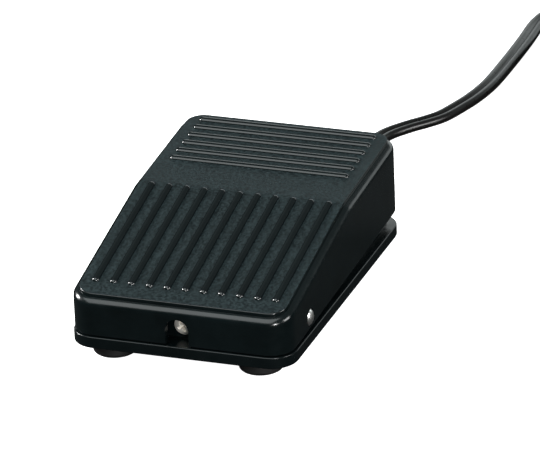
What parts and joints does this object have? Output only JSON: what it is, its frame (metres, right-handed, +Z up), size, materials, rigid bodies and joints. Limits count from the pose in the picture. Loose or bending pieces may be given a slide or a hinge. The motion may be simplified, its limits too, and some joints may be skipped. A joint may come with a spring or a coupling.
{
  "type": "sustain pedal",
  "caption": "Low wedge-shaped foot pedal with a ribbed tread, hinged over a tub that holds a return spring and a snap switch; its flat cord ends in a jack plug.",
  "frame": {"origin": "middle of the base's footprint on the floor, without the cord and what is on it", "axes": "+X across the pedal to the right as the player sees it, +Y along the pedal from its hinged low end to the cord end, +Z up"},
  "size_m": [0.1306, 0.2831, 0.0337],
  "materials": {
    "pedal_shell": "black ABS, glossy sides and rim, fine-grained tread",
    "tub_black": "black ABS, glossy",
    "rubber_black": "satin black rubber",
    "steel_bright": "bright turned steel",
    "screw_nickel": "nickel-plated steel",
    "spring_steel": "drawn spring wire",
    "switch_black": "moulded phenolic",
    "switch_red": "moulded red nylon",
    "contact_brass": "plated brass",
    "clamp_black": "moulded nylon",
    "cord_black": "satin black PVC",
    "wire_silver": "clear insulation over tinned strands",
    "tie_black": "plastic-coated tie",
    "plug_black": "moulded black PVC",
    "plug_nickel": "polished nickel plate"
  },
  "bodies": {
    "tub": {"base": "tub_black", "hinge_pin": "steel_bright", "pin_lock_screw": "screw_nickel", "foot_front_left": "rubber_black", "foot_front_right": "rubber_black", "foot_rear_left": "rubber_black", "foot_rear_right": "rubber_black", "return_spring": "spring_steel", "switch_case": "switch_black", "switch_cover": "switch_red", "switch_terminals": "contact_brass", "switch_screws": "screw_nickel", "lead_wire_common": "wire_silver", "lead_wire_open": "cord_black", "cord_clamp": "clamp_black", "clamp_screws": "screw_nickel", "cord_grommet": "rubber_black", "cord_lead": "cord_black", "cord_coil": "cord_black", "coil_tie": "tie_black", "cord_tail": "cord_black", "plug_housing": "plug_black", "plug_sleeve": "plug_nickel", "plug_insulator": "plug_black", "plug_tip": "plug_nickel"},
    "pedal": {"pedal": "pedal_shell"},
    "lever": {"switch_lever": "steel_bright"},
    "plunger": {"switch_plunger": "switch_red"},
    "blade": {"switch_blade": "contact_brass"}
  },
  "joints": [
    {"name": "pedal_hinge", "type": "hinge", "parent": "tub", "child": "pedal", "pos_m": [0, -0.03, 0.0114], "axis": [-1, 0, 0], "range_deg": [0, 2.6], "stiffness_Nm_per_rad": 1.2, "springref_deg": -11.46, "deforming": ["return_spring"]},
    {"name": "lever_hinge", "type": "hinge", "parent": "tub", "child": "lever", "pos_m": [0, 0.0152, 0.0221], "axis": [-1, 0, 0], "range_deg": [0, 10.5]},
    {"name": "plunger_slide", "type": "slide", "parent": "tub", "child": "plunger", "axis": [0, 0, -1], "range_m": [0, 0.00075]},
    {"name": "blade_hinge", "type": "hinge", "parent": "tub", "child": "blade", "pos_m": [-0.0005, 0.016, 0.0169], "axis": [-1, 0, 0], "range_deg": [0, 4.3]}
  ],
  "couplings": [
    {"joint": "lever_hinge", "follows": "pedal_hinge", "ratio": 4},
    {"joint": "plunger_slide", "follows": "pedal_hinge", "m_per_rad": 0.016},
    {"joint": "blade_hinge", "follows": "pedal_hinge", "ratio": 1.6}
  ]
}
